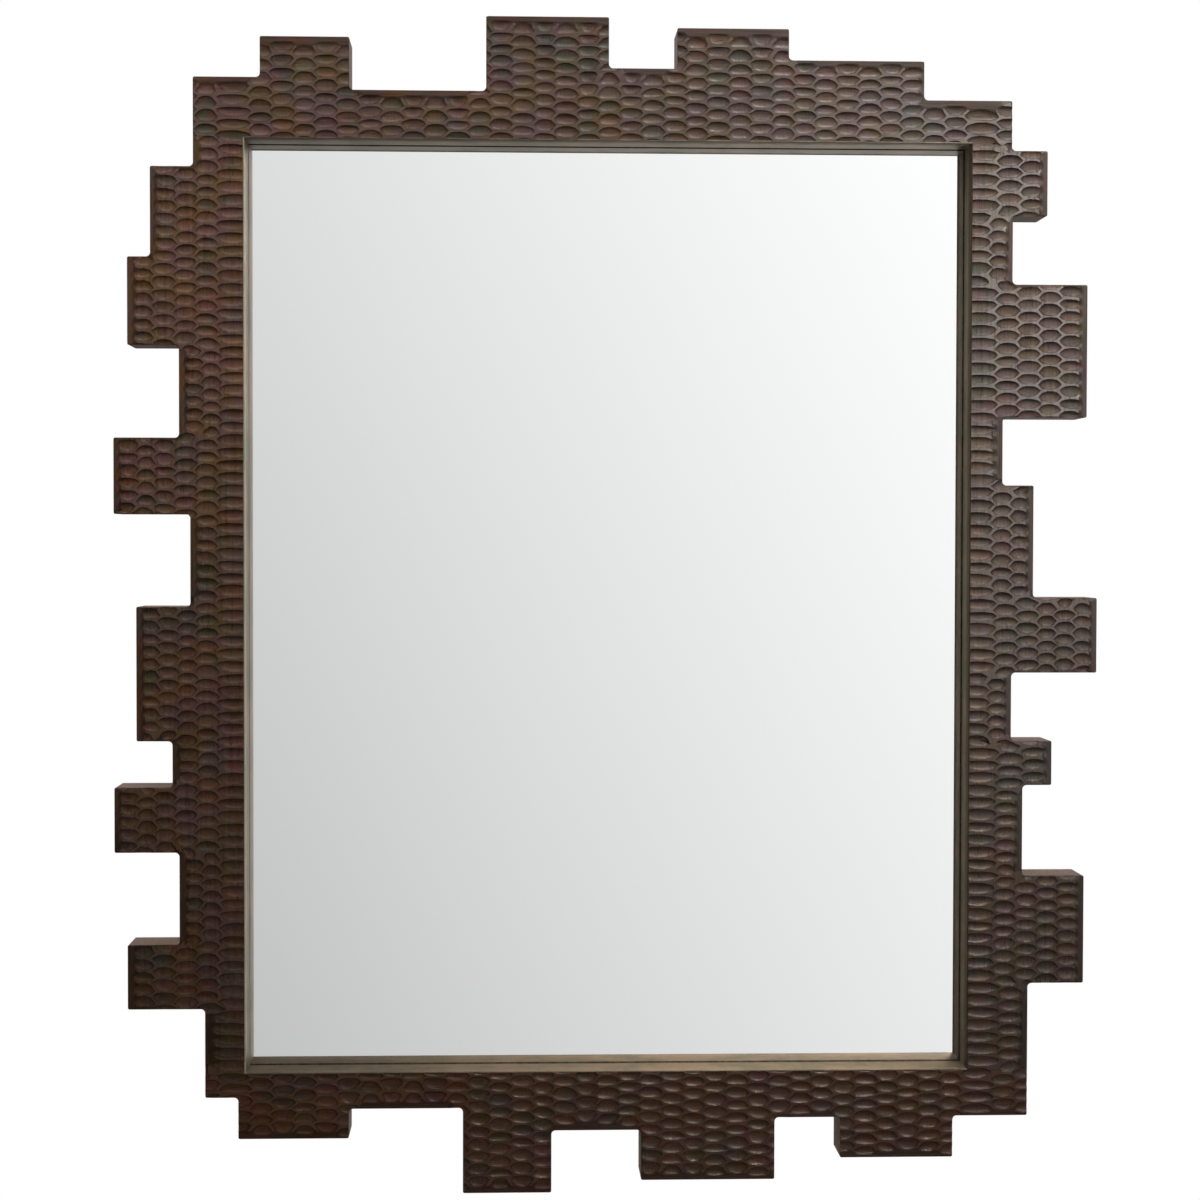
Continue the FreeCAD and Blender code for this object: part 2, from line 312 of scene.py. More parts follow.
silver = {
    "fixed": {"Metallic": 1.0, "Roughness": 0.004},
    "cool": (0.895, 0.905, 0.900, 1),
    "clear": (0.905, 0.915, 0.910, 1),
    "hazeScale": 5,
}


def mirrorSilver():
    material, here, feed = newMaterial("mirrorSilver", silver["fixed"])
    haze = here.noise(silver["hazeScale"], detail=2, roughness=0.5)
    feed(Base_Color=haze.blend(silver["cool"], silver["clear"]))
    return material


plateEdge = {
    "fixed": {"Roughness": 0.9, "Specular IOR Level": 0.0},
    "dark": (0.014, 0.012, 0.009, 1),
    "grime": (0.036, 0.030, 0.022, 1),
    "pale": (0.42, 0.38, 0.31, 1),
    "grimeScale": 240,
}


def glassEdge():
    look = plateEdge
    material, here, feed = newMaterial("silverEdge", look["fixed"])
    grime = here.noise(look["grimeScale"], detail=3, roughness=0.6)
    colour = grime.ramp(0.35, 0.7).blend(look["dark"], look["grime"])
    # painted highlight mixed in on the walls that face right
    feed(Base_Color=here.stored("pale").blend(colour, look["pale"]))
    return material


panelBoard = {
    "fixed": {"Specular IOR Level": 0.35},
    "dark": (0.172, 0.106, 0.061, 1),
    "light": (0.212, 0.134, 0.078, 1),
    "hair": (0.33, 0.22, 0.13, 1),
    "fleck": (0.060, 0.034, 0.020, 1),
    "cloudScale": 7,
    "fleckScale": 420,
    "hairPlace": (0.3, 0, 0.9),
    "hairScale": 150,
    "hairShare": 0.45,
    "fleckShare": 0.6,
    "fleckHeight": 0.5,  # of the hairs'
    "roughness": 0.48,
    "hairDull": 0.2,
    "bump": (0.18, 0.0004),
}


def fibreBoard():
    look = panelBoard
    material, here, feed = newMaterial("fibreBoard", look["fixed"])
    clouds = here.noise(look["cloudScale"], detail=4, roughness=0.6)
    flecks = here.noise(look["fleckScale"], detail=3, roughness=0.7)
    strands = here.stretched((1, 1, 1), look["hairPlace"])
    hairs = strands.noise(look["hairScale"], detail=5, roughness=0.75, distortion=1.6)
    colour = clouds.ramp(0.3, 0.7).blend(look["dark"], look["light"])
    colour = (hairs.ramp(0.52, 0.7) * look["hairShare"]).blend(colour, look["hair"])
    colour = (flecks.ramp(0.58, 0.72) * look["fleckShare"]).blend(colour, look["fleck"])
    rough = look["roughness"] + hairs * look["hairDull"]
    height = hairs + flecks * look["fleckHeight"]
    feed(Base_Color=colour, Roughness=rough, Normal=height.bump(*look["bump"]))
    return material


zinc = {
    "fixed": {"Metallic": 1.0},
    "dark": (0.36, 0.365, 0.37, 1),
    "light": (0.47, 0.47, 0.465, 1),
    "bloom": (0.24, 0.24, 0.225, 1),
    "spangleScale": 900,
    "bloomScale": 160,
    "bloomShare": 0.4,
    "roughness": 0.27,
    "dull": {"spangle": 0.12, "bloom": 0.14},
    "bump": (0.08, 0.0003),
}


def zincSteel():
    look = zinc
    material, here, feed = newMaterial("zincSteel", look["fixed"])
    spangle = here.node("TexVoronoi", None, {"Vector": here, "Scale": look["spangleScale"]}, "Color")
    grey = spangle.node("RGBToBW", None, {"Color": spangle})
    bloom = here.noise(look["bloomScale"], detail=3, roughness=0.6)
    colour = grey.blend(look["dark"], look["light"])
    colour = (bloom.ramp(0.5, 0.75) * look["bloomShare"]).blend(colour, look["bloom"])
    rough = look["roughness"] + weighed(look["dull"], spangle=grey, bloom=bloom)
    feed(Base_Color=colour, Roughness=rough, Normal=bloom.bump(*look["bump"]))
    return material


rubber = {
    "fixed": {"Specular IOR Level": 0.35},
    "black": (0.018, 0.018, 0.018, 1),
    "bloom": (0.042, 0.041, 0.040, 1),
    "bloomScale": 300,
    "roughness": 0.62,
    "bloomDull": 0.2,
    "bump": (0.15, 0.0003),
}


def blackRubber():
    look = rubber
    material, here, feed = newMaterial("blackRubber", look["fixed"])
    bloom = here.noise(look["bloomScale"], detail=3, roughness=0.65)
    colour = bloom.ramp(0.35, 0.75).blend(look["black"], look["bloom"])
    rough = look["roughness"] + bloom * look["bloomDull"]
    feed(Base_Color=colour, Roughness=rough, Normal=bloom.bump(*look["bump"]))
    return material


beech = {
    "fixed": {"Specular IOR Level": 0.3},
    "light": (0.52, 0.36, 0.21, 1),
    "dark": (0.37, 0.24, 0.13, 1),
    "grain": (700, 700, 30),  # its stretch
    "roughness": 0.55,
    "grainDull": 0.15,
    "bump": (0.15, 0.0004),
}


def dowelBeech():
    look = beech
    material, here, feed = newMaterial("dowelBeech", look["fixed"])
    grain = here.stretched(look["grain"]).noise(1, detail=3, roughness=0.6)
    colour = grain.ramp(0.3, 0.75).blend(look["light"], look["dark"])
    rough = look["roughness"] + grain * look["grainDull"]
    feed(Base_Color=colour, Roughness=rough, Normal=grain.bump(*look["bump"]))
    return material


boards = {  # each with the axis that its grain runs along, and a tint of painted light: cool on the top rail and right stile where sheen falls, warm on the bottom rail
    "top_rail": carvedWood("espressoTop", axis=0, tint=(0.93, 1.00, 1.12)),
    "bottom_rail": carvedWood("espressoBottom", axis=0, tint=(1.06, 0.90, 0.82)),
    "left_stile": carvedWood("espressoLeft", axis=2, tint=(1.00, 0.98, 1.02)),
    "right_stile": carvedWood("espressoRight", axis=2, tint=(0.97, 1.02, 1.08)),
}
finishes = {
    "dowel_wood": dowelBeech(),
    "liner_metal": linerMetal(),
    "mirror_silver": mirrorSilver(),
    "black_rubber": blackRubber(),
    "panel_board": fibreBoard(),
    "zinc_steel": zincSteel(),
}
for part in frame["record"]["subparts"]:
    node = frame["nodes"][part["node"]]
    if part["material_slot"] in finishes:
        node.data.materials.clear()
        node.data.materials.append(finishes[part["material_slot"]])
print("finishes made")


# gouge cuts: one sheet of them over the whole front, in staggered columns

carving = {
    "column": 0.0200,  # spacing of the columns
    "row": 0.0116,  # spacing of the cuts down a column
    "firstInside": 0.0050,  # how far the first column runs past the opening's edge
    "firstOutside": 0.0245,  # and how far out it ends
    "columnDrift": 0.0007,
    "rowDrift": 0.0013,  # each column's own start
    "jitter": 0.0006,
    "weave": 0.0027,  # how far the ends reach between their neighbours
    "weaveAtEnd": 0.35,  # share of that in the last column of a block
    "endGap": 0.0012,  # wood left between two cuts, at their ends and above them
    "sideGap": 0.0008,
    "least": 0.0005,  # thinnest wood between two cuts
    "crown": 0.4,  # of the half width of a cell, where its height is taken
    "lengthSpread": 0.05,
    "heightSpread": 0.11,
    "tilt": 0.05,
    "fullness": (2.2, 0.60),  # bow of a cut's outline, from a point at each end
    "bend": (1.6, 0.6),  # how its ends turn to where its neighbours leave room
    "lean": 0.5,  # the most that an end lies off the middle, of the half height
    "drawnIn": 0.9,  # and how much shorter the cut is for what goes past that
    "tips": 0.98,  # of the way along, past which a cut may leave its cell
    "depth": 0.0019,
    "depthSpread": 0.2,
    "deepest": 0.06,  # above the middle of a cut, of its half height
    "rings": {1.0: 0.025, 0.82: 0.46, 0.46: 0.83},  # share of the way out, and of the depth there
    "inset": 0.0001,  # of each ring, before it is put in its place
    "shallowest": 0.0026,  # half height under which a cell stays uncut
    "margin": 0.0046,  # flat border at the outer end of a block
    "probes": (-0.35, 0, 0.35),  # of a cell, where the border is looked for
    "evened": 3,  # rows and columns that take up what is left before the border
    "planed": 0.00015,  # how far the border lies behind the face
    "slack": 0.25,  # of a row, the most that the border's line gives way
    "proud": 0.0008,  # uncut sheet in front of the face
    "behind": 0.025,  # back of the sheet, past the back of the wood
    "sharp": 26,  # degrees between two faces, for a crease
    "level": 0.9999,  # of a normal's length, for a face that is square to an axis
    "seed": 7,
}

halfWide = -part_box("liner_left")[1].x
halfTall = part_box("liner_top")[0].z
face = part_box("top_rail")[0].y


def blockEnd(spot):  # the axis of the block under a spot, and where its border begins on it
    level, side = 1 if spot.z > 0 else -1, 1 if spot.x > 0 else -1
    if abs(spot.z) > halfTall:
        board, axis, way = "top_rail" if level > 0 else "bottom_rail", 2, level
        start, inward = Vector((spot.x, face / 2, level)), Vector((0, 0, -level))  # from a metre out
    else:
        board, axis, way = "right_stile" if side > 0 else "left_stile", 0, side
        start, inward = Vector((side, face / 2, spot.z)), Vector((-side, 0, 0))
    hit, found = frame["nodes"][board].ray_cast(start, inward)[:2]
    return axis, (found[axis] - way * carving["margin"] if hit else way)


def columnLines():  # where the columns meet, the first one on each side of the opening a wide one
    cut, low, high = carving, cadBounds[0][0], cadBounds[1][0]
    inner, outer = halfWide - cut["firstInside"], halfWide + cut["firstOutside"]
    count = round(2 * inner / cut["column"])
    lines = [inner * (2 * step / count - 1) for step in range(count + 1)] + [-outer, outer]
    for step in range(1, math.ceil((high - outer) / cut["column"]) + 2):
        lines += [outer + step * cut["column"]]
    for step in range(1, math.ceil((-outer - low) / cut["column"]) + 2):
        lines += [-outer - step * cut["column"]]
    return sorted(lines)


def carvedSheet():
    cut = carving
    dice = random.Random(cut["seed"])

    def stray(size):
        return dice.uniform(-1, 1) * size

    low, high = cadBounds
    lines = columnLines()
    columns = len(lines) - 1
    base = low[2] - cut["row"]
    levels = math.ceil((high[2] + cut["row"] - base) / (cut["row"] / 2))
    bm = bmesh.new()
    bmesh.ops.create_grid(bm, x_segments=columns, y_segments=levels, size=1)
    column, level = bm.verts.layers.int.new("column"), bm.verts.layers.int.new("level")
    reach = bm.verts.layers.float.new("reach")
    flat, number = bm.faces.layers.int.new("flat"), bm.faces.layers.int.new("number")
    tone, spread = bm.faces.layers.float.new("cutTone"), bm.loops.layers.uv.new("cutUv")
    for vert in bm.verts:
        vert[column] = round((vert.co.x + 1) / 2 * columns)
        vert[level] = round((vert.co.y + 1) / 2 * levels)
        vert[reach] = 1

    # every second level edge goes, a step further on in the next column, and leaves six-sided cells
    def levelEdges():
        return [edge for edge in bm.edges if edge.verts[0][level] == edge.verts[1][level]]

    def odd(edge):
        return (edge.verts[0][level] + min(vert[column] for vert in edge.verts)) % 2

    gone = [edge for edge in levelEdges() if odd(edge) and len(edge.link_faces) == 2]
    bmesh.ops.dissolve_edges(bm, edges=gone, use_verts=False)

    lineDrift = [stray(cut["columnDrift"]) for line in lines]
    rowDrift = [stray(cut["rowDrift"]) for step in range(columns + 2)]
    heights = {}
    for vert in bm.verts:
        step = vert[column]
        owner = step if (step + vert[level]) % 2 == 0 else step - 1
        way = 1 if owner == step else -1
        beside = min(max(step + way, 0), columns)
        x, z = lines[step], base + vert[level] * cut["row"] / 2 + rowDrift[owner]
        axis, end = blockEnd(Vector(((x + lines[beside]) / 2, 0, z)))
        spot, pitch = (x, cut["column"]) if axis == 0 else (z, cut["row"])
        left = abs(end) - abs(spot)
        count = round(left / pitch)
        nudge = 0
        if 0 <= count < cut["evened"]:  # the last few share what is left over
            over = left - count * pitch
            if axis == 2:
                over = max(-cut["slack"] * pitch, min(cut["slack"] * pitch, over))
            nudge = over * (1 - count / cut["evened"]) * math.copysign(1, spot)
        if (owner, vert[level]) not in heights:
            heights[owner, vert[level]] = stray(cut["jitter"])
        if axis == 0:
            x += nudge
            way *= cut["weaveAtEnd"] if count == 0 else 1
        else:
            z += nudge
        if axis == 0 or count:
            x, z = x + lineDrift[step], z + heights[owner, vert[level]]
        vert.co = (x + way * cut["weave"], face - cut["proud"], z)

    # the cells in the opening go
    room = (halfWide - cut["column"] - cut["weave"], halfTall - 2 * cut["row"])
    middles = {cell: cell.calc_center_bounds() for cell in bm.faces}
    hole = [cell for cell, spot in middles.items() if abs(spot.x) < room[0] and abs(spot.z) < room[1]]
    bmesh.ops.delete(bm, geom=hole, context="FACES")
    for cell in bm.faces:
        spot = cell.calc_center_bounds()
        cell[flat] = 1
        onRail = blockEnd(spot)[0] == 2
        for aside in cut["probes"]:
            step = Vector((aside * cut["column"], 0, 0) if onRail else (0, 0, aside * cut["row"]))
            axis, end = blockEnd(spot + step)
            if abs(spot[axis]) < abs(end):
                cell[flat] = 0
        if cell[flat]:
            for vert in cell.verts:
                vert.co.y = face + cut["planed"]
    edges = levelEdges()
    slants = [edge for edge in bm.edges if edge.verts[0][level] != edge.verts[1][level]]
    bmesh.ops.bisect_edges(bm, edges=edges, cuts=2)
    bmesh.ops.bisect_edges(bm, edges=slants, cuts=1)

    shapes, cuts = [], []
    for cell in bm.faces:
        spots = [vert.co.copy() for vert in cell.verts]
        first, last = min(spots, key=lambda spot: spot.x), max(spots, key=lambda spot: spot.x)
        middle, span = (first.x + last.x) / 2, (last.x - first.x) / 2
        inner = [spot.z for spot in spots if abs(spot.x - middle) < span * cut["crown"]]
        if cell[flat] or not inner:
            continue
        top, foot = max(inner), min(inner)
        ends = [spot.z - (top + foot) / 2 for spot in (first, last)]
        most = (top - foot) / 2 * cut["lean"]
        short = max(0, max(map(abs, ends)) - most) * cut["drawnIn"]
        shape = {
            "middle": Vector((middle + stray(cut["jitter"]), face, (top + foot) / 2)),
            "reach": span,
            "half": min((span - cut["endGap"]) * (1 + stray(cut["lengthSpread"])),
                        span - cut["least"]) - short,
            "rise": ((top - foot) / 2 - cut["sideGap"]) * (1 + stray(cut["heightSpread"])),
            "ends": [max(-most, min(most, end)) for end in ends],
            "tilt": stray(cut["tilt"]),
            "deep": cut["depth"] * (1 + stray(cut["depthSpread"])),
        }
        if shape["rise"] < cut["shallowest"] or shape["half"] < 2 * cut["shallowest"]:
            continue
        shapes.append(shape)
        cuts.append(cell)
        cell[number] = len(cuts)
        cell[tone] = stray(1)

    # the sheet gets its thickness before the cuts go in
    grown = bmesh.ops.extrude_face_region(bm, geom=bm.faces[:] + bm.edges[:], use_keep_orig=True)["geom"]
    for vert in grown:
        if isinstance(vert, bmesh.types.BMVert):
            vert.co.y = cut["behind"]

    def outline(shape, spot):  # where the cut's edge is, in line with a spot round it
        away = spot - shape["middle"]
        along = max(-1, min(1, away.x / shape["reach"]))
        bow = (1 - abs(along) ** cut["fullness"][0]) ** cut["fullness"][1]
        power, turn = cut["bend"]
        end = shape["ends"][along > 0]
        axis = end * abs(along) ** power * turn + along * shape["half"] * shape["tilt"] * (1 - along ** 2)
        upper = away.z > end * abs(along)
        height = axis + shape["rise"] * bow * (1 if upper else -1)
        if abs(along) < cut["tips"]:  # inside its own cell
            height = min(height, away.z - cut["least"]) if upper else max(height, away.z + cut["least"])
        return shape["middle"] + Vector((along * shape["half"], 0, height))

    edgeSpots = {}
    for ring, fall in cut["rings"].items():
        bmesh.ops.inset_individual(bm, faces=cuts, thickness=cut["inset"])
        for cell, shape in zip(cuts, shapes):
            inside = set(cell.verts)
            deepest = shape["middle"] + Vector((0, shape["deep"], shape["rise"] * cut["deepest"]))
            for vert in inside:
                around = [edge.other_vert(vert) for edge in vert.link_edges]
                outer = next(other for other in around if other not in inside)
                spot = edgeSpots[vert] = edgeSpots.get(outer) or outline(shape, outer.co)
                vert.co = deepest + (spot - deepest) * ring
                vert.co.y = face + shape["deep"] * fall
                vert[reach] = ring
    for vert in bmesh.ops.poke(bm, faces=cuts)["verts"]:
        shape = shapes[vert.link_faces[0][number] - 1]
        vert.co = shape["middle"] + Vector((0, shape["deep"], shape["rise"] * cut["deepest"]))
        vert[reach] = 0
    for cell in bm.faces:
        if cell[number]:
            shape = shapes[cell[number] - 1]
            for loop in cell.loops:
                rise = (loop.vert.co.z - shape["middle"].z) / shape["rise"]
                loop[spread].uv = (loop.vert[reach], max(-1, min(1, rise)))
    bmesh.ops.recalc_face_normals(bm, faces=bm.faces[:])
    print("gouge cuts:", len(cuts), "in", len(bm.faces), "faces")
    return newPiece("gougeSheet", bm, [])


def unfold(mesh):  # takes out the pairs of triangles that lie back to back
    bm = bmesh.new()
    bm.from_mesh(mesh)
    bmesh.ops.dissolve_degenerate(bm, edges=bm.edges[:], dist=weld)
    bmesh.ops.triangulate(bm, faces=bm.faces[:])
    pairs = {}
    for triangle in bm.faces:
        pairs.setdefault(frozenset(tuple(vert.co) for vert in triangle.verts), []).append(triangle)
    folded = [triangle for pair in pairs.values() if len(pair) == 2 for triangle in pair]
    bmesh.ops.delete(bm, geom=folded, context="FACES")
    bm.to_mesh(mesh)
    bm.free()


def carvedBoard(node, sheet, wood):
    board = newPiece("carved_" + node, cadCopy(node), [])
    chisel = board.modifiers.new("gouge", "BOOLEAN")
    chisel.operation, chisel.solver, chisel.object = "INTERSECT", "MANIFOLD", sheet
    bpy.context.view_layer.update()
    shown = board.evaluated_get(bpy.context.evaluated_depsgraph_get())
    mesh = bpy.data.meshes.new_from_object(shown)
    board.modifiers.clear()
    board.data = mesh
    unfold(mesh)
    mesh.materials.clear()
    mesh.materials.append(wood)
    mesh.shade_smooth()
    mesh.set_sharp_from_angle(angle=math.radians(carving["sharp"]))
    high = mesh.attributes.new("uncut", "FLOAT", "FACE")  # what is left of the planed face
    for polygon, spot in zip(mesh.polygons, high.data):
        if max(map(abs, polygon.normal)) > carving["level"]:
            polygon.use_smooth = False
        if polygon.normal.y < -carving["level"]:
            spot.value = 1
    print(board.name, len(mesh.polygons), "faces")
    settle(board, "carved_wood", node)


sheet = carvedSheet()
for node, wood in boards.items():
    carvedBoard(node, sheet, wood)
bpy.data.objects.remove(sheet)


# liner, with its front edge rounded towards the glass

linerEdge = {
    "round": 0.0011,
    "steps": 4,
    "flatness": 0.01,  # radians, under which two triangles become one face
    "near": 1e-5,  # to the front corner of the opening, for a point on the rim
    "sharp": 35,  # degrees
    "rubbed": {  # painted light on the wall and edge of each side, from painted highlight 1, shown as bare metal, to painted shade -1, shown as tarnish
        "top": (0.03, -0.5),
        "bottom": (-0.72, -0.66),
        "left": (-0.26, 0.1),
        "right": (-0.62, -1),
    },
}


def linerStrip(side):
    node = "liner_" + side
    bm = cadCopy(node)
    bmesh.ops.dissolve_limit(bm, angle_limit=linerEdge["flatness"], verts=bm.verts[:], edges=bm.edges[:])
    wall, edge = [bm.faces.layers.float.new(name) for name in ("wall", "edge")]
    corner = Vector((halfWide, -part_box(node)[0].y, halfTall))
    onRim = {vert for vert in bm.verts if (Vector(map(abs, vert.co)) - corner).length < linerEdge["near"]}
    rim = [line for line in bm.edges if onRim.issuperset(line.verts)]
    bmesh.ops.bevel(bm, geom=rim, offset=linerEdge["round"], offset_type="OFFSET",
                    segments=linerEdge["steps"], profile=0.5, affect="EDGES", material=-1)
    for strip in bm.faces:
        strip[wall], strip[edge] = linerEdge["rubbed"][side]
    piece = newPiece("rounded_" + node, bm, [finishes["liner_metal"]])
    piece.data.shade_smooth()
    piece.data.set_sharp_from_angle(angle=math.radians(linerEdge["sharp"]))
    settle(piece, "liner_metal", node)


for side in linerEdge["rubbed"]:
    linerStrip(side)
print("liner rounded")


# screws with cross recesses, at the places of the plain CAD ones

crossHead = {
    "lines": (-1, -0.55, -0.17, 0.17, 0.55, 1),  # of the radius of the flat top
    "reach": 0.4,  # of it too, how far out the faces of the cross have their middles
    "slim": 0.1,  # and how far off an arm's line
    "recess": 0.0013,
    "taper": 0.62,
    "sharp": 32,  # degrees
    "panel_screws": {
        "seed": 12,
        "top": 0.0029,
        "rings": (  # radius, and depth under the flat top
            (0.0029, 0.0002),
            (0.0015, 0.0016),
            (0.0015, 0.0168),
            (0.0002, 0.0198),
        ),
    },
    "hanger_screws": {
        "seed": 13,
        "top": 0.0024,
        "rings": (
            (0.0030, 0.00025),
            (0.0034, 0.0006),
            (0.0036, 0.0012),
            (0.0036, 0.0022),
            (0.0019, 0.0022),
            (0.0019, 0.0190),
            (0.0002, 0.0220),
        ),
    },
}


def islands(bm):  # one list of vertices for each loose solid
    left = dict.fromkeys(bm.verts)  # keeps its order, so every run gives the same screws
    while left:
        heap, found = [left.popitem()[0]], []
        while heap:
            vert = heap.pop()
            found.append(vert)
            for edge in vert.link_edges:
                other = edge.other_vert(vert)
                if other in left:
                    del left[other]
                    heap.append(other)
        yield found


def crossScrew(bm, place, turn, look):
    lines, count = crossHead["lines"], len(crossHead["lines"]) - 1
    made = bmesh.ops.create_grid(bm, x_segments=count, y_segments=count, size=1)["verts"]
    for vert in made:
        step = [round((value + 1) / 2 * count) for value in vert.co[:2]]
        spot = Vector((lines[step[0]], lines[step[1]], 0))
        if 0 in step or count in step:
            spot.normalize()
        vert.co = spot * look["top"]
    middles = {side: side.calc_center_median() / look["top"] for vert in made for side in vert.link_faces}
    cross = [side for side, spot in middles.items()
             if max(abs(spot.x), abs(spot.y)) < crossHead["reach"]
             and min(abs(spot.x), abs(spot.y)) < crossHead["slim"]]
    sunk = bmesh.ops.extrude_face_region(bm, geom=cross)["geom"]
    floor = [vert for vert in sunk if isinstance(vert, bmesh.types.BMVert)]
    bmesh.ops.scale(bm, vec=(crossHead["taper"], crossHead["taper"], 1), verts=floor)
    bmesh.ops.translate(bm, vec=(0, 0, -crossHead["recess"]), verts=floor)
    bmesh.ops.delete(bm, geom=cross, context="FACES_ONLY")
    nearby = dict.fromkeys(edge for vert in made for edge in vert.link_edges)
    rim = [edge for edge in nearby if len(edge.link_faces) == 1]
    radius, verts = look["top"], made + floor
    for size, depth in look["rings"]:
        grown = bmesh.ops.extrude_edge_only(bm, edges=rim)["geom"]
        ring = [vert for vert in grown if isinstance(vert, bmesh.types.BMVert)]
        rim = [edge for edge in grown if isinstance(edge, bmesh.types.BMEdge)]
        bmesh.ops.scale(bm, vec=(size / radius, size / radius, 0), verts=ring)
        bmesh.ops.translate(bm, vec=(0, 0, -depth), verts=ring)
        radius, verts = size, verts + ring
    bmesh.ops.contextual_create(bm, geom=rim)
    facing = Matrix.Rotation(math.radians(-90), 4, "X") @ Matrix.Rotation(turn, 4, "Z")  # top to the wall
    bmesh.ops.transform(bm, matrix=Matrix.Translation(place) @ facing, verts=verts)


def screwPiece(node, name):
    dice = random.Random(crossHead[node]["seed"])
    plain, bm = cadCopy(node), bmesh.new()
    for island in islands(plain):
        spots = [vert.co for vert in island]
        low, high = [Vector(map(pick, zip(*spots))) for pick in (min, max)]
        middle = (low + high) / 2
        place = Vector((middle.x, high.y, middle.z))
        crossScrew(bm, place, dice.uniform(0, math.pi), crossHead[node])
    plain.free()
    bmesh.ops.recalc_face_normals(bm, faces=bm.faces[:])
    piece = newPiece(name, bm, [finishes["zinc_steel"]])
    piece.data.shade_smooth()
    piece.data.set_sharp_from_angle(angle=math.radians(crossHead["sharp"]))
    settle(piece, "zinc_steel", node)


screwPiece("panel_screws", "cross_head_panel_screws")
screwPiece("hanger_screws", "cross_head_hanger_screws")
print("screws made")


# mirror, its silver near the back of the glass

mirrorGlass = {
    "silverDepth": 0.0038,
    "paleLeft": 0.5,  # painted highlight on the left inner wall of the glass, the side that faces the light on the right
    "facing": 0.9,  # of a normal's length, for a side that faces the front
}


def mirrorPiece():
    low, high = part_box("mirror_glass")
    bm = bmesh.new()
    pale = bm.faces.layers.float.new("pale")
    bmesh.ops.create_cube(bm, size=1)
    bmesh.ops.scale(bm, vec=high - low, verts=bm.verts[:])
    bmesh.ops.translate(bm, vec=(low + high) / 2, verts=bm.verts[:])
    front = [side for side in bm.faces if side.normal.y < -mirrorGlass["facing"]]
    bmesh.ops.inset_region(bm, faces=front, thickness=high.x - halfWide, use_even_offset=True)
    walls = bmesh.ops.extrude_discrete_faces(bm, faces=front)["faces"]
    bmesh.ops.translate(bm, vec=(0, mirrorGlass["silverDepth"], 0), verts=walls[0].verts[:])
    bm.normal_update()
    for side in bm.faces:
        side.material_index = 0 if side.normal.y < -mirrorGlass["facing"] else 1
        # painted highlight on the walls that face right
        side[pale] = max(0, side.normal.x * mirrorGlass["paleLeft"])
    piece = newPiece("mirror_plate", bm, [finishes["mirror_silver"], glassEdge()])
    settle(piece, "mirror_silver", "mirror_glass")


mirrorPiece()
print("mirror made")


# studio

lamps = {
    "top": {
        "place": (0, -0.95, 1.5), "aim": (0, 0, 0.29), "size": (1.9, 0.3),
        "power": 2.95, "spread": 34,
    },
    "overhead": {
        "place": (0, 0.25, 2.8), "aim": (0, 0.25, -1), "size": (3.0, 3.0),
        "power": 50, "spread": 180,
    },
    "floorFront": {
        "place": (0, -1.3, -0.25), "aim": (0, -1.3, -1.3), "size": (2.4, 1.2),
        "power": 2.2, "spread": 140,
    },
    "backLeft": {
        "place": (-1.7, 1.5, 0.9), "aim": (0, 0, 0), "size": (1.2, 1.2),
        "power": 24, "spread": 180,
    },
    "backRight": {
        "place": (1.9, 1.2, 0.5), "aim": (0, 0, 0), "size": (1.2, 1.2),
        "power": 14, "spread": 180,
    },
    "side": {
        "place": (1.0, -2.0, 0.64), "aim": (0.42, 0, 0.18), "size": (0.35, 0.9),
        "power": 6.2, "spread": 32, "glints": True,
    },
    "upper": {
        "place": (0.46, -0.6, 1.4), "aim": (0.2, 0, 0.48), "size": (0.16, 0.16),
        "power": 2.9, "spread": 44, "glints": True,
    },
    "lower": {
        "place": (0.55, -0.9, 0.95), "aim": (0.12, 0, -0.5), "size": (0.34, 0.3),
        "power": 2.7, "spread": 26, "glints": True, "tint": (1, 0.86, 0.72),
    },
}


def softLamp(name, look):
    data = bpy.data.lights.new(name, "AREA")
    data.shape, data.energy = "RECTANGLE", look["power"]
    data.size, data.size_y = look["size"]
    data.color = look.get("tint", (1, 1, 1))
    data.spread = math.radians(look["spread"])
    lamp = bpy.data.objects.new(name, data)
    bpy.context.scene.collection.objects.link(lamp)
    lamp.location, lamp.visible_camera = look["place"], False
    lamp.visible_diffuse = "glints" not in look  # those give sheen and glints alone
    lamp.rotation_euler = (Vector(look["aim"]) - lamp.location).to_track_quat("-Z", "Y").to_euler()


for name, look in lamps.items():
    softLamp(name, look)

glow = {  # of the studio, as sheen shows it: brighter to the right and above
    "level": 0.82,
    "right": 1.12,
    "up": 0.58,
    "least": 0.56,
    "leastUp": 0.4,
    "most": 1.6,
}


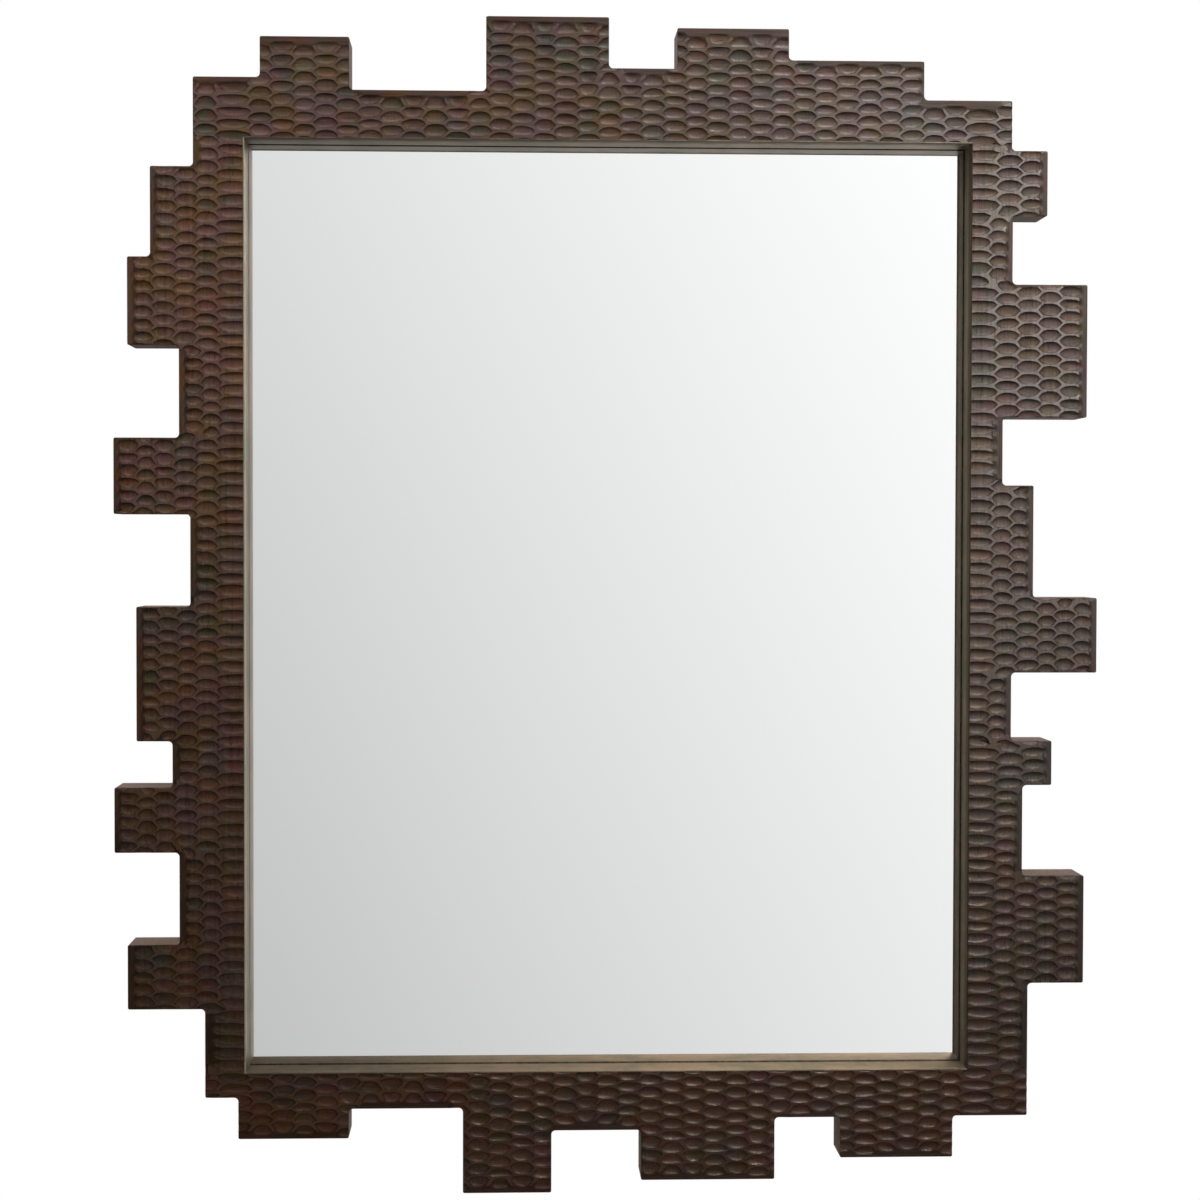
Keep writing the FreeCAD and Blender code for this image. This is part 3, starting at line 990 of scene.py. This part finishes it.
def studioWorld():
    world = bpy.data.worlds.new("studio")
    bpy.context.scene.world = world
    world.use_nodes = True
    tree = world.node_tree
    start = Wire(tree)
    camera, glossy, through = [start.node("LightPath", None, None, name) for name in
                               ("Is Camera Ray", "Is Glossy Ray", "Is Transmission Ray")]
    right, up = start.node("TexCoord", None, None, "Generated").parts()[::2]
    slope = glow["level"] + right * glow["right"] + up * glow["up"]
    sheen = slope.maths("MAXIMUM", slope, glow["least"] + up * glow["leastUp"])
    sheen = sheen.maths("MINIMUM", sheen, glow["most"])
    seen = camera.maths("MAXIMUM", camera, through)
    light = seen + (1 - seen) * glossy * sheen
    tree.links.new(light.socket, tree.nodes["Background"].inputs["Strength"])
    tree.nodes["Background"].inputs["Color"].default_value = (1, 1, 1, 1)


studioWorld()

floorLook = {
    "fixed": {"Roughness": 0.8},
    "height": -1.3,
    "radius": 2.2,
    "sides": 96,
    "dark": (0.86, 0.86, 0.85, 1),
    "light": (0.88, 0.88, 0.87, 1),
    "cloudScale": 3,
}


def floorDisc():
    look, bm = floorLook, bmesh.new()
    place = Matrix.Translation((0, 0, look["height"]))
    bmesh.ops.create_circle(bm, cap_ends=True, segments=look["sides"], radius=look["radius"], matrix=place)
    material, here, feed = newMaterial("paleFloor", look["fixed"])
    feed(Base_Color=here.noise(look["cloudScale"], detail=2).blend(look["dark"], look["light"]))
    newPiece("floor", bm, [material])


floorDisc()

view = {
    "place": (-0.0943, -2.3151, 0.0648),
    "down": 1.443,  # degrees
    "right": 2.164,
    "roll": 0.112,
    "lens": 73.42,
    "sensor": 36,
}
cameraData = bpy.data.cameras.new("photoView")
cameraData.sensor_fit, cameraData.sensor_width, cameraData.lens = "HORIZONTAL", view["sensor"], view["lens"]
camera = bpy.data.objects.new("photoView", cameraData)
bpy.context.scene.collection.objects.link(camera)
camera.location = view["place"]
camera.rotation_euler = [math.radians(turn) for turn in (90 - view["down"], -view["roll"], -view["right"])]
bpy.context.scene.camera = camera
bpy.context.scene.view_settings.view_transform = "Standard"
print("studio and camera made")
